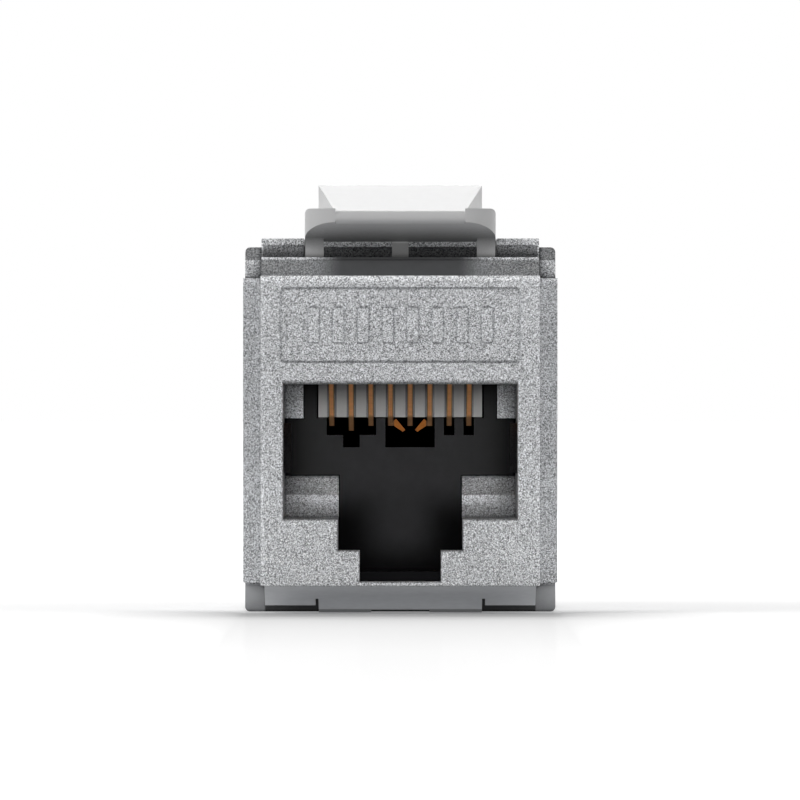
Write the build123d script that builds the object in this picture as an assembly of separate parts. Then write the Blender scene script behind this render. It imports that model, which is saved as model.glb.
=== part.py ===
"""A shielded keystone jack for a twisted-pair network cable, in millimetres.

X runs across the jack, Y from the plug mouth at the front to the cable at the back, and Z up.
Every piece is drawn with the front face at Y = 0 and the underside at Z = 0, and is then moved
back by half the jack's length, so that the origin is on the ground under its middle.
"""

from build123d import *
import math
import os

# Nose: the front block that passes through the panel opening
face_width = 14.3
face_height = 15.85
nose_length = 8.0
corner_round = 0.2
sill = 0.2                  # metal left under the key slot at the front face

# Hook and ramp under the nose, which hold the lower edge of the panel opening
hook_drop = 1.45
hook_ramp = 5.4
hook_length = 6.3
hook_width = 8.4
side_hook_gap = 0.38        # how far the outer thirds of the hook stay above the ground
hook_slit = 0.16            # slit between the hook's middle and each outer third
hook_slit_height = 0.36
hook_relief_width = 3.0
hook_relief = 0.12
floor_wall = 0.35           # metal between the plug channel and the panel groove

# Slope on top of the nose, up to the saddle that the release latch stands on
slope_start = 4.5
slope_rise = 1.0
slope_run = 1.0
saddle_lip = 0.12           # upright edge between the slope and the saddle

# Wide body behind the nose, its side pads and the two rails beside the latch
body_width = 16.05
body_rise = 1.55            # body top above the front face's top edge
body_length = 13.55
body_lean = 0.25            # how far the shoulder's front leans back beside the saddle
pad_proud = 0.1
pad_lead = 0.5
rail_rise = 0.45
rail_inside = 5.0           # half of the distance between the rails
rail_outside = 7.18
rail_setback = 0.4          # rail's front behind the body's front
rail_fillet = 0.65          # hollow between the saddle and the rail's front
rail_length = 11.2
cross_rail_length = 1.8     # the rail that joins the other two behind the latch well
cross_rail_step = 0.04      # its top below the other two
well_depth = 1.45           # latch well below the body top
well_front_gap = 0.75       # well behind the latch's feet
stop_wall = 1.3             # thickness of the wall that the plug's nose meets
cavity_wall = 1.3           # side and bottom walls of the rear cavity
cavity_roof = 0.65          # metal between the latch well and the rear cavity

# Plug mouth
mouth_width = 12.0
mouth_height = 6.9
channel_width = 6.4
channel_depth = 1.6
key_width = 4.15
key_depth = 1.6
key_length = 1.6            # thickness of the bezel that the plug's catch snaps behind
mouth_top_round = 0.3
mouth_edge_round = 0.14
plug_depth = 11.0
stop_corner_width = 0.96
stop_corner_height = 1.76
stop_block_height = 1.17    # upright part of the two lower stop blocks
stop_slope = 0.98           # sloping part above it

# Blank label panel in the front face
label_width = 12.4
label_height = 3.9
label_above_mouth = 1.08
label_depth = 0.16
label_round = 0.35
label_draft = 38.0          # slope of the panel's walls, in degrees
bar_count = 8               # plain raised bars in the middle of the panel, one for each wire
bar_pitch = 1.27
bar_width = 0.66
bar_height = 1.9
bar_relief = 0.11
bar_draft = 35.0

# Contact comb, contact board and the eight contact wires
contact_count = 8
contact_pitch = 1.016
wire = 0.28                 # side of the square contact wire
wire_slot = 0.44            # width of the slot that each contact moves in
comb_width = 8.6
comb_front = 2.1
comb_plate = 1.5
comb_drop = 1.7             # how far the comb's slotted wall hangs below the mouth's roof
comb_wall = 1.1
board_thickness = 0.8
root_place = 3.4            # distance of the contact roots behind the front face
root_rise = 0.2             # root showing above the contact board
bend_radius = 0.5
bend_rise = 0.42            # contact's bend above the mouth's roof
tip_inset = 0.25            # contact tips in front of the stop wall
tip_drop = 2.02             # contact tips below the mouth's roof
long_tip_extra = 0.25       # the second contact reaches further down
tail_wire = 0.18            # crossing ends of contacts 4 and 6
tail_start = 0.3            # where they leave the contact, in front of its tip
tail_reach = 0.64
tail_drop = 0.42
tail_return = 0.4
tail_rise = 0.48
tail_lean = 0.1             # elbow behind the tail's start
tail_tuck = 0.25            # tail's end behind its elbow

# Black insert behind the stop wall
insert_thickness = 1.0
insert_lip = 0.47
insert_gap = 0.05           # running gap round pieces that slide into the housing
insert_setback = 0.25       # its face behind the face of the stop wall
window_margin = 0.05        # dark windows beyond the slots of the comb
slot_depth_low = 0.93
slot_depth_high = 1.57

# Leaf springs that touch the plug's shield
leaf_thickness = 0.2
leaf_height = 2.55
leaf_low = 2.35             # leaf's lower edge above the mouth's ledges
leaf_front = 3.0
leaf_inset = 1.8            # leaf's back end in front of the stop wall
leaf_bulge = 0.35
leaf_recess = 0.05          # leaf's ends behind the mouth's side wall
leaf_tab = 1.0
leaf_clearance = 0.06
pocket_depth = 0.75

# Terminal board, terminal blocks, insulation-piercing terminals and wire manager
terminal_width = 1.5
terminal_thickness = 0.5
terminal_slot = 0.35
terminal_slot_length = 2.6
terminal_reach = 6.5        # terminals beyond the terminal board
tower_width = 2.3
tower_height = 2.4
block_length = 2.6
tower_length = 3.9
block_height = 4.4
manager_lift = 1.3          # manager's front face behind the terminal blocks' bars
manager_length = 8.2
manager_clearance = 0.25
manager_gap = 0.525         # round the manager inside the rear cavity
manager_skin = 0.15         # wall beside the outermost tower
manager_cover = 0.45        # wall over each row of towers
manager_bore = 3.1
manager_chamfer = 0.4
wire_channel = 1.3

# Release latch
latch_width = 9.84
latch_round = 1.58          # front corners seen from above
latch_front = 4.1
latch_peak = 9.4
latch_height = 3.75         # peak above the saddle
lip_height = 2.31           # ramp's front end above the saddle, before it is rounded
lip_round = 0.35
chin_height = 1.79          # lower corner of the lip above the saddle, before it is rounded
ramp_width = 8.47
ramp_front_width = 6.68
shoulder_height = 2.5
shoulder_round = 0.26
underside_height = 0.81     # above the saddle, between the legs
arm_gap = 1.3               # underside behind the legs above the saddle
arm_lift = 0.3              # how much higher the tab's end is than the notch
notch_height = 2.05
notch_length = 1.9
stop_height = 2.55
stop_length = 1.0
stop_run = 0.9              # length of the slope behind the stop
stop_round = 0.3
tab_end = 16.2
tab_thickness = 0.75
tab_round = 0.9
foot_place = 6.25
foot_radius = 0.45
foot_sink = 0.4             # foot's round centre below the saddle
foot_width = 0.95
centre_foot_width = 0.85
leg_depth = 0.64
leg_inset = 0.02            # outer legs inside the latch's sides
leg_hollow = 0.42           # hollow between the chin and the front of the outer legs
foot_gap = 0.05
ridge_count = 3
ridge_pitch = 0.75
ridge_radius = 0.2
ridge_inset = 1.2           # ends of the ridges inside the tab's sides

# Rear doors on their hinge pins
door_gap = 0.15
door_wall = 1.0
door_bottom_gap = 0.2
door_top_gap = 0.45         # door top below the body top
door_back = 32.2
back_wall = 1.2
collar_length = 2.8
collar_bore = 3.9
collar_wall = 1.5
tie_groove = 0.5
tie_groove_width = 1.4
hinge_inset = 0.85          # pin axis inside the body's side, and the knuckle's radius
hinge_clear = 1.35          # pin axis behind the end of the housing
pin_radius = 0.5
pin_press = 0.01            # gap round the pin in the housing's ears
pin_run = 0.05              # gap round the pin in the door's knuckle
pin_head = 0.25
ear_height = 2.6
ear_inset = 1.0             # ears' outer faces inside the top and bottom of the housing
knuckle_gap = 0.12
press_rib_width = 1.2
press_rib_place = 4.6
clip_thickness = 0.2
clip_length = 1.6

# Places that follow from the sizes above
face_bottom = hook_drop
face_top = face_bottom + face_height
saddle_top = face_top + slope_rise
saddle_front = slope_start + slope_run
body_top = face_top + body_rise
rail_top = body_top + rail_rise
key_floor = face_bottom + sill
channel_floor = key_floor + key_depth
mouth_floor = channel_floor + channel_depth
mouth_roof = mouth_floor + mouth_height
groove_roof = key_floor - floor_wall
body_end = nose_length + body_length
insert_front = plug_depth + stop_wall
board_back = insert_front + insert_thickness + board_thickness
tip_place = plug_depth - tip_inset
leaf_back = plug_depth - leaf_inset
well_floor = body_top - well_depth
cavity_half = body_width / 2 - cavity_wall
cavity_top = well_floor - cavity_roof
cable_height = (cavity_wall + cavity_top) / 2
board_bottom = mouth_roof + comb_plate
board_top = board_bottom + board_thickness
hinge_x = body_width / 2 - hinge_inset
hinge_y = body_end + hinge_clear
jack_length = door_back + collar_length
cavity_fit = cavity_half - insert_gap
chin_slope = (chin_height - underside_height) / (foot_place - leg_depth / 2 - latch_front)
tower_end = board_back + block_length + tower_length
terminal_tip = board_back + terminal_reach
manager_front = board_back + block_length + manager_lift
manager_back = manager_front + manager_length
manager_side = cavity_half - manager_gap
manager_half_height = cable_height - cavity_wall - manager_gap
terminal_pitch = (manager_side - manager_skin - manager_clearance - tower_width / 2) / 1.5
terminal_row = manager_half_height - manager_cover - manager_clearance - tower_height / 2


def block(x, y, z):
    """A box between the two X, the two Y and the two Z values."""
    size = (x[1] - x[0], y[1] - y[0], z[1] - z[0])
    middle = ((x[0] + x[1]) / 2, (y[0] + y[1]) / 2, (z[0] + z[1]) / 2)
    return Pos(*middle) * Box(*size)


def centred_block(width, y, z, x=0.0):
    """A box of the given width, centred on X = x."""
    return block((x - width / 2, x + width / 2), y, z)


def side_slab(points, width, x=0.0):
    """An outline drawn in Y and Z, given a thickness across X."""
    outline = Plane.YZ * make_face(Polyline(*points, close=True))
    return Pos(x, 0, 0) * extrude(outline, width / 2, both=True)


def upright(radius, z, x, y):
    """A vertical cylinder between two heights."""
    return Pos(x, y, (z[0] + z[1]) / 2) * Cylinder(radius, z[1] - z[0])


def along_depth(radius, y, z):
    """A cylinder about the cable's direction, at X = 0."""
    lying = Rot(90, 0, 0) * Cylinder(radius, y[1] - y[0])
    return Pos(0, (y[0] + y[1]) / 2, z) * lying


def across(radius, width, y, z, x=0.0):
    """A cylinder lying across the jack."""
    return Pos(x, y, z) * (Rot(0, 90, 0) * Cylinder(radius, width))


def mirrored(shape):
    """The same piece on the other side of the jack."""
    return mirror(shape, Plane.YZ)


def both_sides(shape):
    """A feature and its mirror image."""
    return shape + mirrored(shape)


def contact_x(number):
    """X of contact 1 to contact_count, counted from the left as seen from the front."""
    return (number - (contact_count + 1) / 2) * contact_pitch


def nose():
    """The front block with its top slope and the hook that drops under it."""
    body_overlap = nose_length + 1
    front = side_slab(
        [(0, face_bottom), (0, face_top), (slope_start, face_top),
         (saddle_front, saddle_top - saddle_lip), (saddle_front, saddle_top), (body_overlap, saddle_top),
         (body_overlap, groove_roof), (hook_length, groove_roof), (hook_length, face_bottom)],
        face_width)
    corners = front.edges().filter_by(Axis.Z).group_by(Axis.Y)[0]
    front = fillet(corners, corner_round)
    centre_hook = side_slab(
        [(0, face_bottom), (hook_ramp, 0), (hook_length, 0), (hook_length, face_bottom + 0.01)],
        hook_width)
    side_drop = face_bottom - side_hook_gap
    side_run = hook_ramp * side_drop / face_bottom
    side_hooks = side_slab(
        [(0, face_bottom), (side_run, side_hook_gap), (hook_length, side_hook_gap),
         (hook_length, face_bottom + 0.01)],
        face_width - 2 * corner_round)
    whole_depth = (-1, nose_length)
    slit_x = hook_width / 2
    slit = block((slit_x, slit_x + hook_slit), whole_depth, (-1, side_hook_gap + hook_slit_height))
    relief = centred_block(hook_relief_width, whole_depth, (-1, hook_relief))
    return front + (side_hooks - both_sides(slit)) + (centre_hook - relief)


def wide_body():
    """The block behind the panel, with its side pads, rails and the open well for the latch."""
    y = (nose_length, body_end)
    shell = centred_block(body_width, y, (0, body_top))
    shell = fillet(shell.edges().filter_by(Axis.Y), corner_round + 0.05)
    ledge = saddle_top - saddle_lip
    chamfer_start = nose_length + body_lean
    cut_back = side_slab(
        [(nose_length - 1, body_top + 1), (nose_length - 1, face_top), (nose_length, face_top),
         (chamfer_start, ledge), (chamfer_start + body_top - ledge, body_top),
         (chamfer_start + body_top - ledge, body_top + 1)],
        body_width + 2)
    shell -= cut_back
    pads = centred_block(
        body_width + 2 * pad_proud, (nose_length - pad_lead, body_end - cavity_wall),
        (face_bottom + 0.05, face_top - 0.05))
    rail_front = nose_length + rail_setback
    rail_end = nose_length + rail_length
    rail = hollow_fronted_rail(rail_front, rail_end, (saddle_top - 0.1, rail_top), rail_outside - rail_inside)
    rail = Pos((rail_inside + rail_outside) / 2, 0, 0) * rail
    cross_front = rail_end - cross_rail_length
    cross_rail = hollow_fronted_rail(
        cross_front, rail_end, (well_floor, rail_top - cross_rail_step), 2 * rail_inside + 0.2)
    shell = shell + pads + both_sides(rail) + cross_rail
    well_front = foot_place + foot_radius + well_front_gap
    well = centred_block(2 * rail_inside, (well_front, cross_front), (well_floor, rail_top + 1)) - cross_rail
    return shell, well


def hollow_fronted_rail(front, back, z, width):
    """A rail whose front stands on a hollow fillet at saddle height and whose back end slopes down."""
    foot = front - rail_fillet
    low, top = z
    with BuildLine() as outline:
        Polyline((foot, low), (foot, saddle_top))
        hollow = TangentArc((foot, saddle_top), (front, saddle_top + rail_fillet), tangent=(1, 0))
        Polyline(hollow @ 1, (front, top), (back, top), (back + 2 * rail_rise, body_top - 0.1),
                 (back, low), (foot, low))
    return extrude(Plane.YZ * make_face(outline.line), width / 2, both=True)


def plug_opening():
    """The stepped mouth, back to the stop wall."""
    room = centred_block(mouth_width, (-1, plug_depth), (mouth_floor, mouth_roof))
    channel = centred_block(channel_width, (-1, plug_depth), (channel_floor, mouth_floor + 0.1))
    key = centred_block(key_width, (-1, key_length + 0.1), (key_floor, channel_floor + 0.1))
    catch_room = centred_block(channel_width, (key_length, plug_depth), (key_floor, channel_floor + 0.1))
    return room + channel + key + catch_room


def stop_wall_opening():
    """The hole in the stop wall: the four metal corners left round it stop the plug."""
    y = (plug_depth - 0.1, insert_front + 0.1)
    shoulder = mouth_floor + stop_block_height + stop_slope
    middle = centred_block(mouth_width, y, (shoulder, mouth_roof - stop_corner_height))
    top = centred_block(mouth_width - 2 * stop_corner_width, y, (shoulder, mouth_roof))
    bottom = centred_block(channel_width, y, (key_floor, shoulder + 0.1))
    slope = side_slab(
        [(plug_depth - 0.1, mouth_floor + stop_block_height), (plug_depth, mouth_floor + stop_block_height),
         (plug_depth + stop_slope, shoulder), (plug_depth + stop_slope, shoulder + 0.1),
         (plug_depth - 0.1, shoulder + 0.1)],
        mouth_width)
    return middle + top + bottom + slope


def leaf_pocket():
    """The recess in the right-hand wall of the mouth: deep for the leaf, shallow for its tab."""
    low = mouth_floor + leaf_low - leaf_clearance
    high = low + leaf_height + 2 * leaf_clearance
    inner = mouth_width / 2 - 0.1
    tab_back = mouth_width / 2 + leaf_recess + leaf_thickness + leaf_clearance
    deep = block((inner, mouth_width / 2 + pocket_depth), (leaf_front - 0.5, leaf_back), (low, high))
    shallow = block((inner, tab_back), (leaf_back - 0.1, leaf_back + leaf_tab + leaf_clearance), (low, high))
    return deep + shallow


def label_recess():
    """The shallow panel with sloping walls, less the plain raised bars that stand on its floor."""
    middle = mouth_roof + label_above_mouth + label_height / 2
    inward = Plane(origin=(0, 0, middle), x_dir=(1, 0, 0), z_dir=(0, 1, 0))
    floor = Plane(origin=(0, label_depth, middle), x_dir=(1, 0, 0), z_dir=(0, -1, 0))
    recess = extrude(inward * RectangleRounded(label_width, label_height, label_round), label_depth,
                     taper=label_draft)
    for place in range(bar_count):
        x = (place - (bar_count - 1) / 2) * bar_pitch
        foot = floor * Pos(x, 0, 0) * RectangleRounded(bar_width, bar_height, bar_width / 4)
        recess -= extrude(foot, bar_relief, taper=bar_draft)
    return recess


def foot_sockets():
    """Round-bottomed slots in the saddle that the latch's three feet stand in."""
    centre = saddle_top - foot_sink
    cut = None
    for x, width in latch_feet():
        socket_width = width + 4 * foot_gap
        bottom = across(foot_radius + foot_gap, socket_width, foot_place, centre, x)
        throat = centred_block(
            socket_width, (foot_place - foot_radius - foot_gap, foot_place + foot_radius + foot_gap),
            (centre, saddle_top + 1), x=x)
        cut = bottom + throat if cut is None else cut + bottom + throat
    return cut


def latch_feet():
    """X and width of each foot."""
    side = (latch_width - foot_width) / 2 - leg_inset
    return [(-side, foot_width), (0, centre_foot_width), (side, foot_width)]


def hinge_heights():
    """Lower ear, knuckle and upper ear, as pairs of heights."""
    low = (ear_inset, ear_inset + ear_height)
    high = (body_top - ear_inset - ear_height, body_top - ear_inset)
    return low, (low[1] + knuckle_gap, high[0] - knuckle_gap), high


def hinge_ears():
    """Ears on the right-hand side of the housing, with the pin's holes."""
    low, knuckle, high = hinge_heights()
    ears = None
    for z in (low, high):
        ear = upright(hinge_inset, z, hinge_x, hinge_y)
        arm = block((hinge_x - hinge_inset + 0.2, hinge_x + hinge_inset), (body_end - 0.5, hinge_y), z)
        hole = upright(pin_radius + pin_press, (z[0] - 1, z[1] + 1), hinge_x, hinge_y)
        ear = ear + arm - hole
        ears = ear if ears is None else ears + ear
    return ears


def housing():
    """The one-piece die-cast housing."""
    shell, well = wide_body()
    solid = nose() + shell
    solid -= well
    cavity = centred_block(2 * cavity_half, (insert_front, body_end + 1), (cavity_wall, cavity_top))
    roof_pocket = centred_block(
        comb_width + 2 * insert_gap, (comb_front, insert_front + 0.1),
        (mouth_roof - 0.1, board_top + root_rise + 0.15))
    solid = solid - cavity - roof_pocket - label_recess() - plug_opening() - stop_wall_opening()
    solid = solid - both_sides(leaf_pocket()) - foot_sockets()
    return soft_mouth(solid) + both_sides(hinge_ears())


def soft_mouth(solid):
    """Rounds the outer edges of the mouth, the roof's edge the most."""
    roof = front_edges(solid, (mouth_roof - 0.01, mouth_roof + 0.01))
    solid = fillet(roof, mouth_top_round)
    rest = front_edges(solid, (key_floor - 0.01, mouth_roof - mouth_top_round))
    return fillet(rest, mouth_edge_round)


def front_edges(solid, z):
    """Edges of the mouth in the front face, between two heights."""
    face = solid.edges().filter_by_position(Axis.Y, -0.01, 0.01)
    return [edge for edge in face
            if abs(edge.center().X) < mouth_width / 2 + 0.01 and z[0] < edge.center().Z < z[1]]


def comb():
    """The grey comb: a plate over the mouth and a slotted wall at its back."""
    y_back = insert_front - insert_gap
    wall_front = y_back - comb_wall
    plate = centred_block(comb_width, (comb_front + insert_gap, y_back),
                          (mouth_roof, mouth_roof + comb_plate))
    wall_width = comb_width - 2 * insert_gap
    wall = centred_block(wall_width, (wall_front, y_back), (mouth_roof - comb_drop, mouth_roof + 0.1))
    solid = plate + wall
    for number in range(1, contact_count + 1):
        x = contact_x(number)
        groove = centred_block(wire_slot, (root_place - 0.65, y_back - 0.35),
                               (mouth_roof - comb_drop - 1, mouth_roof + 0.95), x=x)
        root_slot = centred_block(wire_slot, (root_place - 0.65, root_place + 0.5),
                                  (mouth_roof - 1, mouth_roof + comb_plate + 1), x=x)
        solid = solid - groove - root_slot
    return solid


def contact_board():
    """The small circuit board over the comb, slotted for the contact roots."""
    solid = centred_block(comb_width, (comb_front + insert_gap, insert_front - insert_gap),
                          (board_bottom, board_top))
    for number in range(1, contact_count + 1):
        solid -= centred_block(wire_slot, (root_place - 0.6, root_place + 0.45),
                               (board_bottom - 1, board_top + 1), x=contact_x(number))
    return solid


def contact(number):
    """One contact wire: a short root, a bend over the plug mouth and a long sloping spring."""
    x = contact_x(number)
    drop = tip_drop + (long_tip_extra if number == 2 else 0)
    bend = (x, root_place, mouth_roof + bend_rise)
    tip = (x, tip_place, mouth_roof - drop)
    points = [(x, root_place, board_top + root_rise), bend, tip]
    path = FilletPolyline(*points, radius=bend_radius)
    section = Plane(origin=path @ 0, x_dir=(1, 0, 0), z_dir=path % 0) * Rectangle(wire, wire)
    spring = sweep(section, path=path)
    if number in (4, 6):
        spring += crossing_tail(number, tip)
    return spring


def crossing_tail(number, tip):
    """The bent end of contacts 4 and 6, which leans in behind contact 5 and turns back up."""
    towards = 1 if number < contact_count / 2 + 1 else -1
    start = Vector(*tip) + Vector(0, -tail_start, tail_wire / 2)
    elbow = start + Vector(towards * tail_reach, tail_lean, -tail_drop)
    end = elbow + Vector(-towards * tail_return, tail_tuck, tail_rise)
    tail = None
    for first, last in ((start, elbow), (elbow, end)):
        lean = (last - first).normalized()
        section = Plane(origin=first - lean * tail_wire / 3, z_dir=lean) * Rectangle(tail_wire, tail_wire)
        leg = extrude(section, (last - first).length + tail_wire / 3)
        tail = leg if tail is None else tail + leg
    return tail


def insert():
    """The black insert that closes the back of the mouth and lines its lower channel."""
    z = (cavity_wall + insert_gap, cavity_top - insert_gap)
    plate = centred_block(2 * cavity_fit, (insert_front, insert_front + insert_thickness), z)
    shoulder = mouth_floor + stop_block_height + stop_slope
    y = (plug_depth + insert_setback, insert_front)
    filler = centred_block(mouth_width - 4 * insert_gap, y,
                           (shoulder + insert_gap, mouth_roof - stop_corner_height - insert_gap))
    stem = centred_block(channel_width - 2 * insert_gap, y, (key_floor + insert_gap, shoulder + 0.2))
    cheeks_top = centred_block(mouth_width - 2 * stop_corner_width - 2 * insert_gap, y,
                               (shoulder + 0.2, mouth_roof - insert_gap))
    liner = centred_block(channel_width - 2 * insert_gap, (key_length + 0.15, y[0] + 0.1),
                          (key_floor + insert_gap, key_floor + insert_lip))
    solid = plate + filler + stem + cheeks_top + liner
    solid -= centred_block(comb_width + 2 * insert_gap, (0, insert_front),
                           (mouth_roof - comb_drop - insert_gap, board_top + root_rise + 1))
    for left, right, depth in contact_windows():
        low = mouth_roof - comb_drop - depth
        solid -= block((left, right), (0, insert_front - 0.05), (low, mouth_roof - comb_drop + 0.1))
    return solid


def contact_windows():
    """Left and right edges, and depth, of the dark windows below the comb."""
    edge = wire_slot / 2 + window_margin
    return [
        (contact_x(1) - edge, contact_x(3) + edge, slot_depth_low),
        (contact_x(2) - 1.6 * edge, contact_x(2) + 1.6 * edge, slot_depth_high),
        (contact_x(4) - edge, contact_x(6) + edge, slot_depth_high),
        (contact_x(7) - edge, contact_x(7) + edge, slot_depth_low),
        (contact_x(8) - edge, contact_x(8) + edge, slot_depth_low),
    ]


def shield_leaf():
    """The right-hand leaf spring: a shallow arc that bulges into the mouth, and a rear tab."""
    low = mouth_floor + leaf_low
    outer_x = mouth_width / 2 + leaf_recess
    sagitta = outer_x - (mouth_width / 2 - leaf_bulge)
    half_chord = (leaf_back - leaf_front) / 2
    radius = (half_chord ** 2 + sagitta ** 2) / (2 * sagitta)
    centre_x = mouth_width / 2 - leaf_bulge + radius
    ring = Cylinder(radius, leaf_height) - Cylinder(radius - leaf_thickness, leaf_height)
    ring = Pos(centre_x, (leaf_front + leaf_back) / 2, low + leaf_height / 2) * ring
    reach = block((mouth_width / 2 - leaf_bulge - 1, outer_x + leaf_thickness),
                  (leaf_front, leaf_back), (low, low + leaf_height))
    arc = ring & reach
    tab = block((outer_x, outer_x + leaf_thickness), (leaf_back - 0.2, leaf_back + leaf_tab),
                (low, low + leaf_height))
    return arc + tab


def terminal_places():
    """X and Z of each terminal."""
    for row in (-1, 1):
        for place in range(4):
            yield (place - 1.5) * terminal_pitch, cable_height + row * terminal_row


def terminal_board():
    """The upright circuit board behind the insert."""
    solid = centred_block(2 * cavity_fit, (insert_front + insert_thickness, board_back),
                          (cavity_wall + insert_gap, cavity_top - insert_gap))
    for x, z in terminal_places():
        solid -= centred_block(terminal_slot + 0.35, (0, board_back + 1),
                               (z - terminal_thickness / 2 - 0.05, z + terminal_thickness / 2 + 0.05), x=x)
    return solid


def terminal_block(row):
    """One row's terminal block: a bar with a slotted tower round each terminal."""
    z_row = cable_height + row * terminal_row
    bar = centred_block(2 * (cavity_fit - 0.2), (board_back, board_back + block_length),
                        (z_row - block_height / 2, z_row + block_height / 2))
    solid = bar
    for x, z in terminal_places():
        if abs(z - z_row) > 0.1:
            continue
        tower = centred_block(tower_width, (board_back + block_length - 0.1, tower_end),
                              (z - tower_height / 2, z + tower_height / 2), x=x)
        wire_way = centred_block(wire_channel, (tower_end - terminal_slot_length, tower_end + 1),
                                 (z - tower_height, z + tower_height), x=x)
        blade_way = centred_block(terminal_width + 0.1, (0, tower_end + 1),
                                  (z - terminal_thickness / 2 - 0.05, z + terminal_thickness / 2 + 0.05), x=x)
        solid = solid + (tower - wire_way) - blade_way
    return solid


def terminal(x, z):
    """A forked blade: its open slot cuts through the wire's insulation."""
    height = (z - terminal_thickness / 2, z + terminal_thickness / 2)
    blade = centred_block(terminal_width, (board_back + 0.05, terminal_tip), height, x=x)
    tail = centred_block(terminal_slot + 0.25, (insert_front + insert_thickness + 0.1, board_back + 0.2),
                         height, x=x)
    slot = centred_block(terminal_slot, (terminal_tip - terminal_slot_length, terminal_tip + 1), height, x=x)
    mouth = Pos(x, terminal_tip, z) * Rot(0, 0, 45) * Box(
        terminal_slot * 2, terminal_slot * 2, 2 * terminal_thickness)
    return blade + tail - slot - mouth


def wire_manager():
    """The cap that carries the eight wires and presses them onto the terminals."""
    z = (cable_height - manager_half_height, cable_height + manager_half_height)
    solid = centred_block(2 * manager_side, (manager_front, manager_back), z)
    solid = chamfer(solid.edges().group_by(Axis.Y)[-1], manager_chamfer)
    solid -= along_depth(manager_bore, (0, manager_back + 1), cable_height)
    cone = Cone(manager_bore + 1.0, manager_bore, 1.6)
    solid -= Pos(0, manager_back - 0.8, cable_height) * (Rot(90, 0, 0) * cone)
    cross_y = (manager_front, manager_front + 3.0)
    cross = (centred_block(2 * manager_bore + 0.4, cross_y, (cable_height - 0.4, cable_height + 0.4))
             + centred_block(0.8, cross_y, (cable_height - manager_bore - 0.2,
                                            cable_height + manager_bore + 0.2)))
    solid += cross
    deepest = max(tower_end, terminal_tip) + manager_clearance
    for x, place in terminal_places():
        recess = centred_block(tower_width + 2 * manager_clearance, (0, deepest),
                               (place - tower_height / 2 - manager_clearance,
                                place + tower_height / 2 + manager_clearance), x=x)
        outward = 1 if place > cable_height else -1
        edge = cable_height + outward * (manager_half_height + 1)
        wire_way = centred_block(wire_channel, (0, deepest + wire_channel),
                                 tuple(sorted((place, edge))), x=x)
        solid = solid - recess - wire_way
    return solid


def latch():
    """The white release latch: legs with rounded feet, a ramp with two shoulders, and the finger tab."""
    base = saddle_top
    under = base + underside_height
    notch = base + notch_height
    notch_end = latch_peak + notch_length
    stop_end = notch_end + stop_length
    tab_top = notch + arm_lift
    leg_back = foot_place + leg_depth / 2
    arm = side_slab(
        [(latch_front, base + chin_height), (foot_place - leg_depth / 2, under), (leg_back, under),
         (leg_back + 1.3, base + arm_gap), (tab_end, tab_top - tab_thickness), (tab_end, tab_top),
         (stop_end + 0.6, notch), (latch_peak, notch), (latch_peak, base + shoulder_height),
         (latch_front, base + shoulder_height)],
        latch_width)
    arm = fillet(arm.edges().filter_by(Axis.Z).group_by(Axis.Y)[-1], tab_round)
    arm = fillet(arm.edges().filter_by(Axis.Z).group_by(Axis.Y)[0], latch_round)
    outline = make_face(Polyline(
        (-latch_width / 2, base), (latch_width / 2, base), (latch_width / 2, base + shoulder_height),
        (-latch_width / 2, base + shoulder_height), close=True))
    outline = fillet(outline.vertices().group_by(Axis.Y)[-1], shoulder_round)
    arm &= extrude(Plane.XZ * outline, tab_end + 1, both=True)
    stop = side_slab(
        [(notch_end, notch - 0.5), (notch_end, base + stop_height), (stop_end, base + stop_height),
         (stop_end + stop_run, notch - 0.2), (stop_end, notch - 0.5)],
        latch_width)
    stop = fillet(stop.edges().filter_by(Axis.Y).group_by(Axis.Z)[-1], stop_round)
    solid = ramp_on(arm)
    return solid + stop + latch_legs(base, under) + finger_ridges(tab_top)


def ramp_on(arm):
    """Cuts the ramp's lower end between the shoulders, adds its upper end and rounds its front lip."""
    lip = saddle_top + lip_height
    peak = saddle_top + latch_height
    front_half = ramp_front_width / 2
    back_half = ramp_width / 2
    plan = make_face(Polyline(
        (-front_half, latch_front), (front_half, latch_front),
        (back_half, latch_peak), (-back_half, latch_peak), close=True))
    taper = Pos(0, 0, saddle_top) * extrude(plan, 2 * latch_height, dir=(0, 0, 1))
    above = side_slab(
        [(latch_front, lip), (latch_peak, peak), (latch_peak, peak + 3), (latch_front, peak + 3)], latch_width)
    below = side_slab(
        [(latch_front, lip - 0.1), (latch_front, lip), (latch_peak, peak), (latch_peak, lip - 0.1)],
        latch_width)
    solid = arm - (above & taper) + (below & taper)
    lip_back = latch_front + 2 * lip_round
    ramp_slope = (peak - lip) / (latch_peak - latch_front)
    chin = saddle_top + chin_height
    profile = make_face(Polyline(
        (latch_front, chin), (latch_front, lip), (lip_back, lip + 2 * lip_round * ramp_slope),
        (lip_back, chin - 2 * lip_round * chin_slope), close=True))
    profile = fillet(profile.vertices().group_by(Axis.X)[0], lip_round)
    solid -= centred_block(2 * front_half, (latch_front - 1, latch_front + lip_round), (saddle_top, peak))
    return solid + extrude(Plane.YZ * profile, front_half, both=True)


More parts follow.
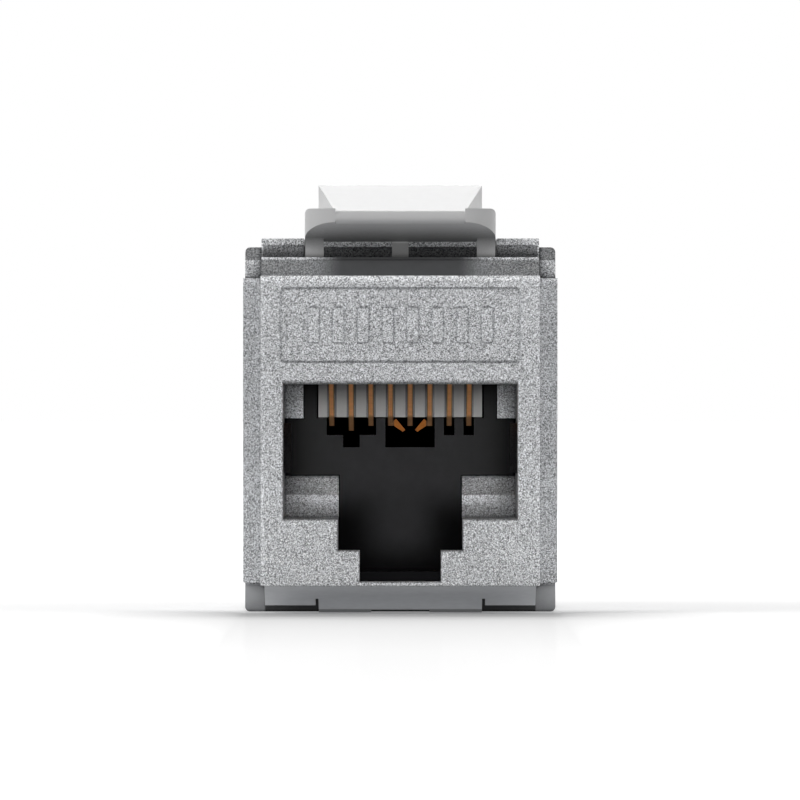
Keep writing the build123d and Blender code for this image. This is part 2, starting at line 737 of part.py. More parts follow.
def latch_legs(base, under):
    """The three legs, each ending in a rounded foot; the outer two flow into the chin."""
    centre = base - foot_sink
    front = foot_place - leg_depth / 2
    back = foot_place + leg_depth / 2
    hollow_top = (front - leg_hollow, under + leg_hollow * chin_slope)
    legs = None
    for x, width in latch_feet():
        foot = across(foot_radius, width, foot_place, centre, x)
        leg = centred_block(width, (front, back), (centre, under + 0.3), x=x)
        if x != 0:
            with BuildLine() as outline:
                hollow = TangentArc((front, under - leg_hollow), hollow_top, tangent=(0, 1))
                Polyline(hollow @ 1, (front, under + 0.3), (back, under + 0.3), (back, under - leg_hollow),
                         (front, under - leg_hollow))
            leg += Pos(x, 0, 0) * extrude(Plane.YZ * make_face(outline.line), width / 2, both=True)
        legs = foot + leg if legs is None else legs + foot + leg
    return legs


def finger_ridges(tab_top):
    """Grip ridges across the end of the tab."""
    slope = math.atan2(arm_lift, tab_end - latch_peak - notch_length - stop_length - 0.6)
    ridges = None
    for step in range(ridge_count):
        y = tab_end - 0.6 - step * ridge_pitch
        z = tab_top - (tab_end - y) * math.tan(slope)
        ridge = across(ridge_radius, latch_width - 2 * ridge_inset, y, z)
        ridges = ridge if ridges is None else ridges + ridge
    return ridges


def door():
    """The right-hand door: half of a box round the wire manager, with half of the cable collar."""
    z = (door_bottom_gap, body_top - door_top_gap)
    front = body_end + door_gap
    x_outer = body_width / 2
    seam = door_gap / 2
    shell = block((seam, x_outer), (front, door_back), z)
    shell = fillet(shell.edges().filter_by(Axis.X).group_by(Axis.Y)[-1]
                   + shell.edges().filter_by(Axis.Z).sort_by(Axis.X)[-1:], 0.8)
    shell = fillet(shell.edges().filter_by(Axis.Y).group_by(Axis.X)[-1], corner_round + 0.05)
    room = block((-1, x_outer - door_wall), (0, door_back - back_wall),
                 (z[0] + door_wall, z[1] - door_wall))
    collar = along_depth(collar_bore + collar_wall, (door_back - 0.5, jack_length), cable_height)
    collar &= block((seam, x_outer + 5), (0, jack_length + 1), (-20, 40))
    groove_middle = door_back + collar_length / 2
    groove = along_depth(collar_bore + collar_wall + 1, (groove_middle - tie_groove_width / 2,
                                                         groove_middle + tie_groove_width / 2), cable_height)
    groove -= along_depth(collar_bore + collar_wall - tie_groove,
                          (groove_middle - 5, groove_middle + 5), cable_height)
    solid = shell - room + (collar - groove)
    rib = centred_block(press_rib_width, (manager_back + 0.1, door_back - back_wall + 0.1),
                        (z[0] + door_wall - 0.1, z[1] - door_wall + 0.1), x=press_rib_place)
    solid = solid + rib
    solid -= along_depth(collar_bore, (0, jack_length + 1), cable_height)
    solid -= clip_ring(0.03)
    return hang_on_pin(solid, z)


def hang_on_pin(solid, z):
    """Clears the door round the housing's ears and gives it a bored knuckle."""
    low, knuckle, high = hinge_heights()
    swing_radius = hinge_clear - 0.05
    clear = upright(swing_radius, (z[0] - 1, z[1] + 1), hinge_x, hinge_y)
    clear &= block((0, 20), (0, hinge_y + swing_radius), (z[0] - 1, z[1] + 1))
    solid -= upright(swing_radius, (-1, low[1] + knuckle_gap), hinge_x, hinge_y)
    solid -= upright(swing_radius, (high[0] - knuckle_gap, body_top + 1), hinge_x, hinge_y)
    edge = block((hinge_x - hinge_inset + 0.1, 20), (0, hinge_y), (z[0] - 1, z[1] + 1))
    solid -= edge
    solid -= clear & block((hinge_x - 3, 20), (0, hinge_y), (-1, 40))
    barrel = upright(hinge_inset, knuckle, hinge_x, hinge_y)
    web = block((hinge_x - hinge_inset + 0.1, hinge_x + hinge_inset), (hinge_y, hinge_y + 1.6), knuckle)
    solid = solid + barrel + web
    return solid - upright(pin_radius + pin_run, (-1, body_top + 1), hinge_x, hinge_y)


def hinge_pin():
    """The right-hand pin, headed at the top."""
    low, knuckle, high = hinge_heights()
    pin = upright(pin_radius, (low[0] - 0.1, high[1]), hinge_x, hinge_y)
    head = upright(pin_radius + 0.22, (high[1], high[1] + pin_head), hinge_x, hinge_y)
    return pin + head


def clip_ring(gap=0.0):
    """A ring in the collar's mouth: the seat for both spring clips, or the clips themselves."""
    start = door_back - back_wall + 0.1
    y = (start - gap, start + clip_length + gap)
    return (along_depth(collar_bore + clip_thickness + gap, y, cable_height)
            - along_depth(collar_bore, (y[0] - 1, y[1] + 1), cable_height))


def cable_clip():
    """The right-hand half of the spring collar that grips the cable's braid."""
    half = block((door_gap, 20), (0, 60), (-20, 40))
    return clip_ring() & half


def all_pieces():
    """Every piece by name."""
    leaf = shield_leaf()
    right_door = door()
    pin = hinge_pin()
    clip = cable_clip()
    pieces = {
        "front_housing": housing(),
        "release_latch": latch(),
        "plug_insert": insert(),
        "contact_comb": comb(),
        "contact_board": contact_board(),
        "terminal_board": terminal_board(),
        "lower_terminal_block": terminal_block(-1),
        "upper_terminal_block": terminal_block(1),
        "wire_manager": wire_manager(),
        "right_shield_spring": leaf,
        "left_shield_spring": mirrored(leaf),
        "right_door": right_door,
        "left_door": mirrored(right_door),
        "right_hinge_pin": pin,
        "left_hinge_pin": mirrored(pin),
        "right_cable_clip": clip,
        "left_cable_clip": mirrored(clip),
    }
    for number in range(1, contact_count + 1):
        pieces[f"contact_{number}"] = contact(number)
    for number, (x, z) in enumerate(terminal_places(), start=1):
        pieces[f"terminal_{number}"] = terminal(x, z)
    return pieces


os.makedirs("parts", exist_ok=True)
for name, piece in all_pieces().items():
    export_step(Pos(0, -jack_length / 2, 0) * piece, f"parts/{name}.step")
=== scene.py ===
"""Dresses the keystone jack: tumbled zinc, moulded plastics, gold-flashed contacts, and a white studio.

Everything is in metres, in the jack's own frame: X across, Y from the plug mouth back to the cable,
Z up, and the origin on the ground under the middle of the jack.
"""

import bpy
import bmesh
import math
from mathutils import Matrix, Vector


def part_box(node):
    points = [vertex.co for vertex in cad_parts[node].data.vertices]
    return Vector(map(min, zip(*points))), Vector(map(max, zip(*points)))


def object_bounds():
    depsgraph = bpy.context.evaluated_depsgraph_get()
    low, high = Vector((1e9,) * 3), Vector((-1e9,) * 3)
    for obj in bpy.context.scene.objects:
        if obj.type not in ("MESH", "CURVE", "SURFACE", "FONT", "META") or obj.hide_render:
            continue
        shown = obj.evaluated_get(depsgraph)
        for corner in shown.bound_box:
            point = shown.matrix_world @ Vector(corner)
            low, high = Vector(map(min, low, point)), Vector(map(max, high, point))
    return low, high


MM = 0.001
MIX_INPUTS = (0, 6, 7)          # the factor and the two colours of a Mix node, and its colour output
MIX_OUTPUT = 2
CONTACT_PITCH = 1.016 * MM

# The photograph: a long lens, level, straight in front of the jack
SENSOR = 36.0
CAMERA_AWAY = 700 * MM          # from the front face
CAMERA_HEIGHT = 10.94 * MM
VIEW_WIDTH = 40.92 * MM         # what the picture spans at the front face
CAMERA_RIGHT = -0.015 * MM

# The white floor: how much it glows beside the jack, where the lower glow is painted shade, and where it
# has become plain white
FLOOR_GLOW = 0.5
FLOOR_NEAR = 15 * MM
FLOOR_FAR = 120 * MM
FLOOR_WHITE = 0.8
FLOOR_BOUNCE = 0.25             # what the floor throws back onto matt surfaces
FLOOR_GLOSS = 0.07
FLOOR_SIZE = 6.0
# Painted shadow: share of that glow in front of the jack's foot, by distance as a part of SHADE_REACH
PAINTED_FOOT_SHADOW = [(0.015, 0.0), (0.04, 0.17), (0.06, 0.42), (0.1, 0.6), (0.2, 0.61), (0.5, 0.55),
              (0.85, 0.6), (1.0, 0.95)]
SHADE_REACH = 200 * MM
SHADE_SIDE = 8.4 * MM           # the shade ends so far beside the foot and behind its front
SHADE_BACK = 15 * MM

# The studio round the jack: a white wall at eye level that metal mirrors, and dim air above
WALL_TOP = 0.3                  # sine of the height where the wall starts to fade
WALL_END = 0.7
OVERHEAD = 0.06
ROOM = 0.28                     # even light of the room on matt surfaces

# Two soft boxes beside the photographer, a rim light behind, and two narrow lamps into the mouth
SOFT_BOX = (350 * MM, 350 * MM)
BOX_SIDE = 460 * MM
BOX_BEFORE = 270 * MM
BOX_HEIGHT = 370 * MM
LEFT_POWER = 1.1                # in watts, as all lamps
RIGHT_POWER = 0.5
RIM_SIZE = (300 * MM, 300 * MM)
RIM_BEHIND = 530 * MM
RIM_HEIGHT = 380 * MM
RIM_POWER = 1.0
SNOOT_AWAY = 150 * MM           # from the front face
SNOOT_SPREAD = 1.0              # degrees
MOUTH_HEIGHT = 8.4 * MM
MOUTH_LAMP = (10.4 * MM, 5.2 * MM)
MOUTH_POWER = 0.00012
SLOT_HEIGHT = 4.4 * MM
SLOT_LAMP = (2.8 * MM, 2.4 * MM)
SLOT_POWER = 0.000013

# Where the zinc changes, in its finish and in painted light and shade: heights over the ground, depths
# behind the front face, sides from the middle
HOOK_TOP = 1.4 * MM
HOOK_DEPTH = 8.2 * MM
HOOK_SIDE = 7.04 * MM
RAMP_DEPTH = 7.4 * MM           # the hook's sloping front ends here
# Painted shade: the slots beside the hook's middle are painted dark.
SLOT_TOP = 1.95 * MM            # the slots beside the hook's middle
SLOT_SIDE = 7.0 * MM
# A painted shadow of the latch lies on the middle of the slope under it, between these places.
SLOPE_FOOT = 17.31 * MM         # the slope under the latch
SLOPE_DEPTH = 6.0 * MM
SLOPE_MIDDLE = 4.05 * MM
# Painted light: the zinc above this height is painted lighter, and gets painted occlusion shade.
TOP_START = 17.05 * MM
# Painted shade: the plain zinc above this height on the saddle is darker.
SADDLE_EDGE = 18.15 * MM
# Painted shade lies in the hollow round the latch's legs, between these places.
HOLLOW_FLOOR = 18.25 * MM       # the hollow round the latch's legs
HOLLOW_TOP = 18.97 * MM
HOLLOW_FRONT = 7.4 * MM
HOLLOW_BACK = 19.0 * MM
HOLLOW_SIDE = 7.1 * MM
RAIL_SIDE = 5.025 * MM
# Painted light: the zinc is painted lighter low down and darker up high between these heights.
EVEN_LOW = 3 * MM               # the zinc's tone evens out the light, which falls more on its upper part
EVEN_HIGH = 10 * MM
MOUTH_TOP = 12.05 * MM
MOUTH_SIDE = 6.075 * MM
MOUTH_DEPTHS = (10.0 * MM, 14.0 * MM)

# Where the painted light and shade on the plastics and the contacts change
LIP_HEIGHT = 20.175 * MM
MIDDLE_LEG_SIDE = 0.55 * MM
MIDDLE_LEG_TOP = 19.05 * MM
WINDOW_DEPTH = 11.6 * MM        # the insert's windows open behind its face here
INSERT_EDGE = 3.75 * MM         # its face falls into the mouth's shade towards both sides
TIP_HEIGHT = 10.1 * MM
WIRE_EDGE = 0.105 * MM
CROSSING_START = 0.195 * MM
COMB_SLOT = 0.245 * MM

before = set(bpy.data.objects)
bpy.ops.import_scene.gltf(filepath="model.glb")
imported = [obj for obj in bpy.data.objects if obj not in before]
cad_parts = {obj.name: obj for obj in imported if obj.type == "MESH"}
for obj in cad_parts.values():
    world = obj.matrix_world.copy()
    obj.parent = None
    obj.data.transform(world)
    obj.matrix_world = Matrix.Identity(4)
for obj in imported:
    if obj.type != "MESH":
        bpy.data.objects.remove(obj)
cad_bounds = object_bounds()
front_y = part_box("front_housing")[0].y


class Nodes:
    """A node tree under construction: short calls that add its nodes and join them.

    Wherever a call takes a value, it takes a number, a colour or another node's output.
    """

    def __init__(self, tree):
        self.tree = tree

    def add(self, kind, **settings):
        node = self.tree.nodes.new(kind)
        for name, value in settings.items():
            setattr(node, name, value)
        return node

    def give(self, node, socket, value):
        entry = node.inputs[socket]
        if isinstance(value, bpy.types.NodeSocket):
            self.tree.links.new(value, entry)
        elif entry.type == "RGBA":
            entry.default_value = (*value, 1.0)
        else:
            entry.default_value = value

    def math(self, operation, first, second=0.0):
        node = self.add("ShaderNodeMath", operation=operation)
        self.give(node, 0, first)
        self.give(node, 1, second)
        return node.outputs["Value"]

    def times(self, first, *others):
        for other in others:
            first = self.math("MULTIPLY", first, other)
        return first

    def span(self, value, low, high, start=0.0, end=1.0, smooth=False):
        """Goes from low to high as a value goes from start to end, and stays within them."""
        node = self.add("ShaderNodeMapRange", interpolation_type="SMOOTHSTEP" if smooth else "LINEAR")
        self.give(node, "Value", value)
        self.give(node, "From Min", start)
        self.give(node, "From Max", end)
        self.give(node, "To Min", low)
        self.give(node, "To Max", high)
        return node.outputs["Result"]

    def above(self, value, edge, blur=0.1 * MM):
        """A mask: 1 where a value is past an edge, and 0 before it."""
        return self.span(value, 0.0, 1.0, edge - blur / 2, edge + blur / 2, smooth=True)

    def below(self, value, edge, blur=0.1 * MM):
        return self.span(value, 1.0, 0.0, edge - blur / 2, edge + blur / 2, smooth=True)

    def ramp(self, value, stops):
        """Colours along a value: stops are (position, colour)."""
        node = self.add("ShaderNodeValToRGB")
        ends = node.color_ramp.elements
        while len(ends) < len(stops):
            ends.new(0.5)
        for end, (position, colour) in zip(ends, stops):
            end.position = position
            end.color = (*colour, 1.0)
        self.give(node, "Fac", value)
        return node.outputs["Color"]

    def place(self):
        """X, Y and Z of a point, in metres in the jack's frame."""
        node = self.add("ShaderNodeSeparateXYZ")
        self.give(node, "Vector", self.add("ShaderNodeTexCoord").outputs["Object"])
        return node.outputs

    def seen(self):
        """1 for what the camera, a mirror or glass sees, and 0 for the light on matt surfaces."""
        path = self.add("ShaderNodeLightPath").outputs
        shown = self.math("MAXIMUM", path["Is Camera Ray"], path["Is Glossy Ray"])
        return self.math("MAXIMUM", shown, path["Is Transmission Ray"])


class Finish(Nodes):
    """A material under construction."""

    def __init__(self, name):
        self.material = bpy.data.materials.new(name)
        self.material.use_nodes = True
        super().__init__(self.material.node_tree)
        self.shader = self.tree.nodes["Principled BSDF"]

    def set(self, **values):
        """Fixed values on the shader's own sockets, such as metallic=1."""
        for name, value in values.items():
            self.shader.inputs[name.capitalize()].default_value = value
        return self

    def feed(self, socket, output):
        self.give(self.shader, socket, output)
        return self

    def noise(self, grain, detail=2.0, roughness=0.5, stretch=None):
        """Noise whose grains are about the given size, or longer where stretch is under 1."""
        place = self.add("ShaderNodeTexCoord").outputs["Object"]
        if stretch:
            mapping = self.add("ShaderNodeMapping")
            self.give(mapping, "Vector", place)
            self.give(mapping, "Scale", stretch)
            place = mapping.outputs["Vector"]
        node = self.add("ShaderNodeTexNoise")
        self.give(node, "Vector", place)
        self.give(node, "Scale", 1 / grain)
        self.give(node, "Detail", detail)
        self.give(node, "Roughness", roughness)
        return node.outputs["Fac"]

    def uneven(self, grain, low, high, detail=3):
        """A level that wanders between two limits over patches of about the given size."""
        return self.span(self.noise(grain, detail), low, high, 0.3, 0.7)

    def flakes(self, size):
        """A random shade for each small cell."""
        node = self.add("ShaderNodeTexVoronoi")
        self.give(node, "Vector", self.add("ShaderNodeTexCoord").outputs["Object"])
        self.give(node, "Scale", 1 / size)
        grey = self.add("ShaderNodeRGBToBW")
        self.give(grey, "Color", node.outputs["Color"])
        return grey.outputs["Val"]

    def mix(self, amount, first, second, blend="MIX"):
        node = self.add("ShaderNodeMix", data_type="RGBA", blend_type=blend)
        for socket, value in zip(MIX_INPUTS, (amount, first, second)):
            self.give(node, socket, value)
        return node.outputs[MIX_OUTPUT]

    def shade(self, colour, level):
        """A colour made darker or lighter by a value."""
        node = self.add("ShaderNodeCombineColor")
        for channel in ("Red", "Green", "Blue"):
            self.give(node, channel, level)
        return self.mix(1.0, colour, node.outputs["Color"], "MULTIPLY")

    def axes(self):
        """The side from the middle, the depth behind the front face, and the height of a point."""
        x, y, z = self.place()
        return self.math("ABSOLUTE", x), self.math("SUBTRACT", y, front_y), z

    def contact_offset(self):
        """How far a point is beside the middle of the nearest contact."""
        from_gap = self.math("PINGPONG", self.place()["X"], CONTACT_PITCH / 2)
        return self.math("SUBTRACT", CONTACT_PITCH / 2, from_gap)

    def occlusion_shade(self, reach, low=0.3, high=0.85, least=0.2):
        """Painted shade from ambient occlusion, to multiply into colours: less than 1 in nooks, where
        neighbours within reach keep the light out.
        """
        node = self.add("ShaderNodeAmbientOcclusion", samples=12)
        self.give(node, "Distance", reach)
        return self.span(self.span(node.outputs["AO"], 0.0, 1.0, low, high, smooth=True), least, 1.0)

    def bump(self, height, depth, strength=0.5):
        node = self.add("ShaderNodeBump")
        self.give(node, "Strength", strength)
        self.give(node, "Distance", depth)
        self.give(node, "Height", height)
        return self.feed("Normal", node.outputs["Normal"])


def zinc(level):
    """A faintly bluish grey."""
    return (level * 0.985, level, level * 1.025)


def tumbled_zinc():
    """Die-cast zinc after tumbling: a matt grey crowded with tiny bright and dark facets.

    The hook and the middle of the slope under the latch get plain colours without the facets, which
    carry painted light and shade.
    The faceted rest is painted lighter on its top and low down, and gets painted shade in the hollow
    round the latch's legs and in nooks and crevices.
    """
    finish = Finish("tumbled zinc").set(roughness=0.62)
    side, depth, z = finish.axes()
    facets = finish.times(finish.noise(0.034 * MM, 2, 0.6), 0.6)
    flakes = finish.times(finish.flakes(0.046 * MM), 0.4)
    speckle = finish.math("ADD", facets, flakes)
    # Plain colours without facets on the hook and the slope's middle, which hold painted shade and
    # light.
    hook = finish.times(finish.below(z, HOOK_TOP), finish.below(depth, HOOK_DEPTH, 0.2 * MM))
    ramp = finish.times(finish.below(depth, RAMP_DEPTH, 0.2 * MM),
                        finish.below(side, HOOK_SIDE, 0.08 * MM))
    slope = finish.times(finish.below(side, SLOPE_MIDDLE, 2.3 * MM),
                         finish.above(z, SLOPE_FOOT, 0.06 * MM),
                         finish.below(depth, SLOPE_DEPTH, 0.2 * MM))
    smooth = finish.math("MAXIMUM", hook, slope)
    # Painted light: the top is painted lighter.
    top = finish.above(z, TOP_START, 0.3 * MM)
    level = finish.times(clouds_and_painted_light(finish, top), hollow_painted_shade(finish, side, depth, z))
    colour = finish.ramp(speckle, [(0.35, zinc(0.12)), (0.5, zinc(0.56)), (0.65, zinc(1.0))])
    plain = finish.shade(zinc(1.0), plain_painted_tones(finish, side, z, ramp, slope))
    colour = finish.mix(smooth, finish.shade(colour, level), plain)
    # Painted shade from ambient occlusion: within 1.3 mm on the top and round the hook, within 0.2 mm
    # everywhere.
    under = finish.times(finish.below(z, HOOK_TOP), finish.math("SUBTRACT", 1.0, ramp))
    nooks = finish.span(finish.math("MAXIMUM", top, under), 1.0, finish.occlusion_shade(1.3 * MM))
    crevice_shade = finish.occlusion_shade(0.2 * MM, 0.5, 0.95, 0.5)
    finish.feed("Base Color", finish.shade(colour, finish.times(nooks, crevice_shade)))
    finish.feed("Metallic", finish.span(mouth_mask(finish, side, depth, z), 1.0, 0.28))
    return finish.bump(finish.times(speckle, finish.math("SUBTRACT", 1.0, smooth)), 0.012 * MM).material


def clouds_and_painted_light(finish, top):
    """Tones of the faceted faces: slow clouds, and painted light: lighter low down and darker up high,
    and a painted lighter top.
    """
    even = finish.span(finish.place()["Z"], 1.06, 0.88, EVEN_LOW, EVEN_HIGH)
    return finish.times(finish.uneven(2.5 * MM, 0.95, 1.04, 2), even, finish.span(top, 1.0, 1.33))


def hollow_painted_shade(finish, side, depth, z):
    """Painted shade in the hollow round the latch's legs, darkest between the rails."""
    hollow = finish.times(finish.above(z, HOLLOW_FLOOR), finish.below(z, HOLLOW_TOP, 0.06 * MM),
                          finish.above(depth, HOLLOW_FRONT, 0.2 * MM),
                          finish.below(depth, HOLLOW_BACK, 1 * MM),
                          finish.below(side, HOLLOW_SIDE, 0.04 * MM))
    return finish.span(hollow, 1.0, finish.span(finish.below(side, RAIL_SIDE, 0.15 * MM), 0.42, 0.2))


def plain_painted_tones(finish, side, z, ramp, slope):
    """Painted tones of the plain faces: the hook's ramp painted lighter than its sides, painted shade in
    its slots, a painted shadow of the latch on the slope, and painted shade on the saddle.
    """
    slots = finish.times(finish.below(side, SLOT_SIDE), finish.below(z, SLOT_TOP))
    # Painted light and shade: the hook's ramp is lighter than its sides, and its slots darker.
    hook = finish.span(ramp, finish.span(slots, 0.5, 0.12), 0.74)
    saddle = finish.above(z, SADDLE_EDGE)
    return finish.times(finish.uneven(0.5 * MM, 0.97, 1.03, 4), hook, finish.span(slope, 1.0, 0.34),
                        finish.span(saddle, 1.0, 0.3))


def mouth_mask(finish, side, depth, z):
    """1 on the stop blocks at the mouth's back, whose dull faces take the light from the front."""
    front, back = MOUTH_DEPTHS
    return finish.times(finish.above(depth, front, 1 * MM), finish.below(z, MOUTH_TOP),
                        finish.below(side, MOUTH_SIDE, 0.05 * MM), finish.below(depth, back, 1 * MM))


def insert_plastic():
    """Black plastic. Inside the windows under the comb, where no light comes out, it is painted pure
    black without gloss as shade, and its face has painted shade towards both sides.
    """
    finish = Finish("black insert plastic").set(roughness=0.5)
    side, depth, _ = finish.axes()
    # Painted shade: behind the window depth the insert is pure black without gloss, and its face is
    # darker towards both sides.
    open_face = finish.below(depth, WINDOW_DEPTH)
    edges = finish.above(side, INSERT_EDGE, 3.5 * MM)
    tone = finish.times(finish.uneven(0.5 * MM, 0.85, 1.15), finish.span(edges, 1.0, 0.3), open_face)
    finish.feed("Base Color", finish.shade((0.008, 0.008, 0.0092), tone))
    finish.feed("Specular IOR Level", finish.times(open_face, 0.07))
    return finish.bump(finish.noise(0.09 * MM), 0.003 * MM).material


def latch_plastic():
    """White nylon: the ramp and its lip are painted a little lighter, with painted shade in nooks such
    as the legs and the chin, and on the middle leg.
    """
    finish = Finish("white latch plastic").set(roughness=0.42)
    side, _, z = finish.axes()
    # Painted light on the ramp and its lip; painted shade in nooks and on the middle leg.
    lip = finish.above(z, LIP_HEIGHT, 0.45 * MM)
    nooks = finish.math("MAXIMUM", finish.occlusion_shade(3 * MM, 0.3, 0.82, 0.17), lip)
    middle_leg_shade = finish.times(finish.below(side, MIDDLE_LEG_SIDE), finish.below(z, MIDDLE_LEG_TOP))
    level = finish.times(finish.uneven(0.6 * MM, 0.985, 1.0), nooks, finish.span(lip, 0.9, 0.935),
                         finish.span(middle_leg_shade, 1.0, 0.55))
    finish.feed("Base Color", finish.shade((1.0, 1.0, 1.0), level))
    return finish.bump(finish.noise(0.09 * MM), 0.001 * MM).material


def moulded(name, colour, roughness, contrast):
    """Moulded plastic with a faint uneven tone and a fine eroded texture."""
    finish = Finish(name).set(roughness=roughness)
    dark = tuple(channel * (1 - contrast) for channel in colour)
    light = tuple(channel * (1 + contrast) for channel in colour)
    finish.feed("Base Color", finish.ramp(finish.noise(0.35 * MM, 4), [(0.35, dark), (0.65, light)]))
    return finish.bump(finish.noise(0.09 * MM), 0.001 * MM).material


def strip_metal(name, colour, roughness, stretch=(1, 0.1, 1)):
    """Rolled or drawn metal: fine lines run one way, along the axis with the small stretch."""
    finish = Finish(name).set(metallic=1.0)
    lines = finish.noise(0.03 * MM, 3, stretch=stretch)
    dark = tuple(channel * 0.82 for channel in colour)
    finish.feed("Base Color", finish.ramp(lines, [(0.3, dark), (0.7, colour)]))
    finish.feed("Roughness", finish.span(lines, roughness * 0.8, roughness * 1.25, 0.3, 0.7))
    return finish.bump(lines, 0.003 * MM, 0.4).material


def contact_bronze():
    """Gold-flashed phosphor bronze: wires with painted shade on their edges and tips, and crossing ends
    between them painted a darker brown as shade.
    """
    finish = Finish("gold-flashed bronze").set(metallic=0.7, roughness=0.8)
    offset = finish.contact_offset()
    # Painted shade: the crossing ends are a darker brown, and the wires' edges and tips are darker.
    crossing = finish.above(offset, CROSSING_START, 0.01 * MM)
    edge = finish.span(finish.above(offset, WIRE_EDGE, 0.05 * MM), 1.0, 0.35)
    tip_shade = finish.span(finish.below(finish.place()["Z"], TIP_HEIGHT, 0.2 * MM), 1.0, 0.4)
    wire = finish.shade((0.98, 0.53, 0.24), finish.times(finish.uneven(0.3 * MM, 0.9, 1.05), tip_shade, edge))
    finish.feed("Base Color", finish.mix(crossing, wire, (0.34, 0.12, 0.02)))
    return finish.bump(finish.noise(0.09 * MM), 0.002 * MM, 0.4).material


def comb_plastic():
    """Grey plastic with painted shade in the slots, one for each contact."""
    finish = Finish("grey comb plastic").set(roughness=0.5)
    # Painted shade in the slots beside each contact.
    slot = finish.below(finish.contact_offset(), COMB_SLOT, 0.03 * MM)
    level = finish.times(finish.uneven(0.5 * MM, 0.96, 1.04), finish.span(slot, 1.0, 0.12))
    finish.feed("Base Color", finish.shade((0.17, 0.163, 0.159), level))
    return finish.material


def board_mask():
    """Solder mask on glass cloth, with the tracks just showing under it."""
    finish = Finish("solder mask").set(roughness=0.32)
    weave = finish.add("ShaderNodeTexWave")
    finish.give(weave, "Vector", finish.add("ShaderNodeTexCoord").outputs["Object"])
    finish.give(weave, "Scale", 1 / (6 * MM))
    finish.give(weave, "Distortion", 1.5)
    greens = [(0.55, (0.012, 0.10, 0.045)), (0.62, (0.02, 0.17, 0.07))]
    finish.feed("Base Color", finish.ramp(weave.outputs["Fac"], greens))
    return finish.bump(weave.outputs["Fac"], 0.02 * MM).material


def dress(material, *names):
    """Gives CAD nodes their finish in place of the plain one."""
    for name in names:
        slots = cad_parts[name].data.materials
        slots.clear()
        slots.append(material)


def both(name):
    return f"left_{name}", f"right_{name}"


def dress_all():
    numbers = range(1, 9)
    dress(tumbled_zinc(), "front_housing", *both("door"))
    dress(latch_plastic(), "release_latch")
    dress(moulded("white plastic", (0.86, 0.86, 0.86), 0.42, 0.015), "wire_manager")
    dress(insert_plastic(), "plug_insert")
    dress(moulded("black plastic", (0.02, 0.02, 0.022), 0.5, 0.2),
          "lower_terminal_block", "upper_terminal_block")
    dress(comb_plastic(), "contact_comb")
    dress(board_mask(), "contact_board", "terminal_board")
    dress(contact_bronze(), *[f"contact_{n}" for n in numbers])
    dress(strip_metal("tinned bronze", (0.74, 0.70, 0.62), 0.35), *[f"terminal_{n}" for n in numbers])
    dress(strip_metal("spring steel", (0.52, 0.52, 0.52), 0.34), *both("cable_clip"))
    # Painted shade: the shield springs' steel is painted dark for the shade inside the mouth.
    dress(strip_metal("shade_painted spring steel", (0.16, 0.16, 0.17), 0.3), *both("shield_spring"))
    dress(strip_metal("drawn pin steel", (0.6, 0.6, 0.6), 0.3, (1, 1, 0.1)), *both("hinge_pin"))


def painted_foot_shadow(nodes):
    """A painted shadow in the floor's glow, which starts at the jack's front foot and fades away from
    it.
    """
    x, y, _ = nodes.place()
    beside = nodes.math("SUBTRACT", nodes.math("ABSOLUTE", x), cad_bounds[1].x)
    beside = nodes.math("MAXIMUM", nodes.math("DIVIDE", beside, SHADE_SIDE), 0.0)
    behind = nodes.math("SUBTRACT", y, front_y)
    clear = nodes.math("POWER", beside, 0.5)
    clear = nodes.math("MAXIMUM", clear, nodes.math("DIVIDE", behind, SHADE_BACK))
    before = nodes.math("DIVIDE", nodes.math("ABSOLUTE", behind), SHADE_REACH)
    share = nodes.ramp(before, [(position, (level,) * 3) for position, level in PAINTED_FOOT_SHADOW])
    return nodes.span(clear, share, 1.0)


def floor_material():
    """A white sheet: bright to the camera, shaded by the jack's real shadow and by painted shade in its
    glow, with a faint gloss.
    """
    material = bpy.data.materials.new("white acrylic sheet")
    material.use_nodes = True
    nodes = Nodes(material.node_tree)
    nodes.tree.nodes.remove(nodes.tree.nodes["Principled BSDF"])
    seen = nodes.seen()
    matt = nodes.add("ShaderNodeBsdfDiffuse")
    nodes.give(matt, "Color", nodes.span(seen, FLOOR_BOUNCE, FLOOR_WHITE))
    distance = nodes.add("ShaderNodeVectorMath", operation="LENGTH")
    nodes.give(distance, 0, nodes.add("ShaderNodeTexCoord").outputs["Object"])
    # Painted shade: the floor glows less near the jack.
    fade = nodes.span(distance.outputs["Value"], FLOOR_GLOW, 1.0, FLOOR_NEAR, FLOOR_FAR)
    glow = nodes.add("ShaderNodeEmission")
    # The glow carries the painted shadow before the jack's foot.
    nodes.give(glow, "Strength", nodes.times(seen, fade, painted_foot_shadow(nodes)))
    lit = nodes.add("ShaderNodeAddShader")
    nodes.give(lit, 0, matt.outputs["BSDF"])
    nodes.give(lit, 1, glow.outputs["Emission"])
    gloss = nodes.add("ShaderNodeBsdfGlossy")
    nodes.give(gloss, "Roughness", 0.08)
    top = nodes.add("ShaderNodeMixShader")
    nodes.give(top, "Fac", FLOOR_GLOSS)
    nodes.give(top, 1, lit.outputs["Shader"])
    nodes.give(top, 2, gloss.outputs["BSDF"])
    nodes.give(nodes.tree.nodes["Material Output"], "Surface", top.outputs["Shader"])
    return material


def studio_floor():
    bm = bmesh.new()
    bmesh.ops.create_grid(bm, x_segments=1, y_segments=1, size=FLOOR_SIZE)
    mesh = bpy.data.meshes.new("studio_floor")
    bm.to_mesh(mesh)
    bm.free()
    mesh.materials.append(floor_material())
    floor = bpy.data.objects.new("studio_floor", mesh)
    bpy.context.scene.collection.objects.link(floor)


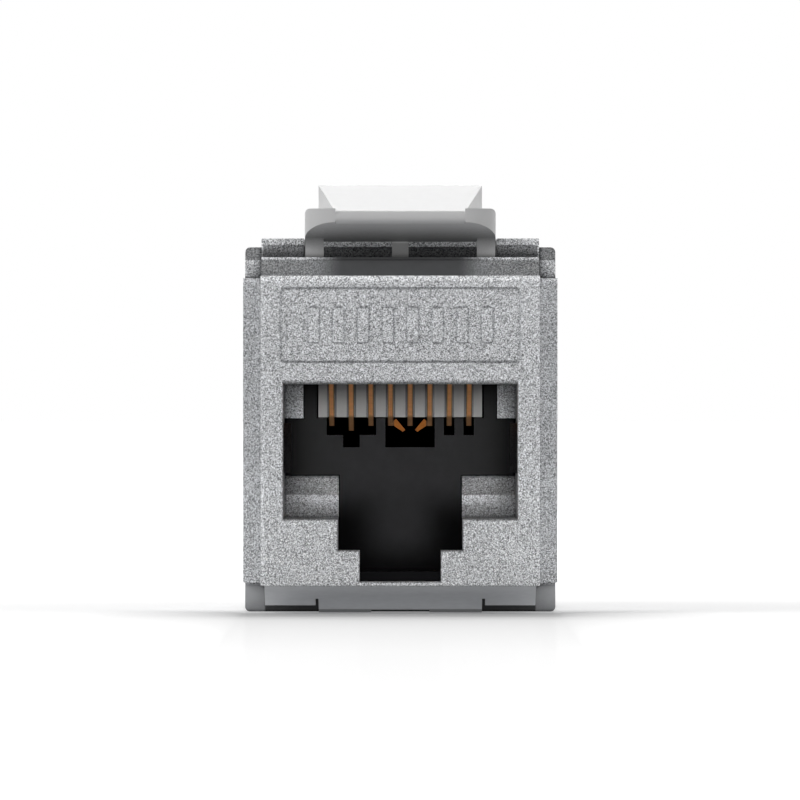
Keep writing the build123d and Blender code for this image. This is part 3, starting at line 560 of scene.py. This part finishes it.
def studio_world():
    """White all round at eye level and dim overhead, with an even softer light on matt surfaces."""
    world = bpy.data.worlds.new("studio")
    bpy.context.scene.world = world
    world.use_nodes = True
    nodes = Nodes(world.node_tree)
    split = nodes.add("ShaderNodeSeparateXYZ")
    nodes.give(split, "Vector", nodes.add("ShaderNodeTexCoord").outputs["Generated"])
    wall = nodes.span(split.outputs["Z"], 1.0, OVERHEAD, WALL_TOP, WALL_END, smooth=True)
    back = nodes.tree.nodes["Background"]
    nodes.give(back, "Color", (1, 1, 1))
    nodes.give(back, "Strength", nodes.span(nodes.seen(), ROOM, wall))


def lamp(name, place, aim, size, power, spread=180):
    """A rectangular area lamp turned towards a point."""
    light = bpy.data.lights.new(name, "AREA")
    light.shape = "RECTANGLE"
    light.size, light.size_y = size
    light.energy = power
    light.spread = math.radians(spread)
    body = bpy.data.objects.new(name, light)
    bpy.context.scene.collection.objects.link(body)
    body.location = place
    body.rotation_euler = (body.location - aim).to_track_quat("Z", "Y").to_euler()


def snoot(name, height, size, power):
    """A narrow lamp straight in front of the jack, which lights only what it points at."""
    aim = (cad_bounds[0] + cad_bounds[1]) / 2
    aim.z = height
    lamp(name, (0, front_y - SNOOT_AWAY, height), aim, size, power, SNOOT_SPREAD)


def lights():
    centre = (cad_bounds[0] + cad_bounds[1]) / 2
    lamp("left", (-BOX_SIDE, -BOX_BEFORE, BOX_HEIGHT), centre, SOFT_BOX, LEFT_POWER)
    lamp("right", (BOX_SIDE, -BOX_BEFORE, BOX_HEIGHT), centre, SOFT_BOX, RIGHT_POWER)
    lamp("rim", (0, RIM_BEHIND, RIM_HEIGHT), centre, RIM_SIZE, RIM_POWER)
    snoot("mouth", MOUTH_HEIGHT, MOUTH_LAMP, MOUTH_POWER)
    snoot("slot", SLOT_HEIGHT, SLOT_LAMP, SLOT_POWER)


def camera():
    lens = bpy.data.cameras.new("camera")
    lens.sensor_width = SENSOR
    lens.lens = SENSOR * CAMERA_AWAY / VIEW_WIDTH
    lens.clip_start = 0.01
    lens.clip_end = 50
    body = bpy.data.objects.new("camera", lens)
    bpy.context.scene.collection.objects.link(body)
    body.location = (CAMERA_RIGHT, front_y - CAMERA_AWAY, CAMERA_HEIGHT)
    body.rotation_euler = (math.radians(90), 0, 0)
    bpy.context.scene.camera = body


dress_all()
studio_floor()
studio_world()
lights()
camera()
bpy.context.scene.view_settings.view_transform = "Standard"
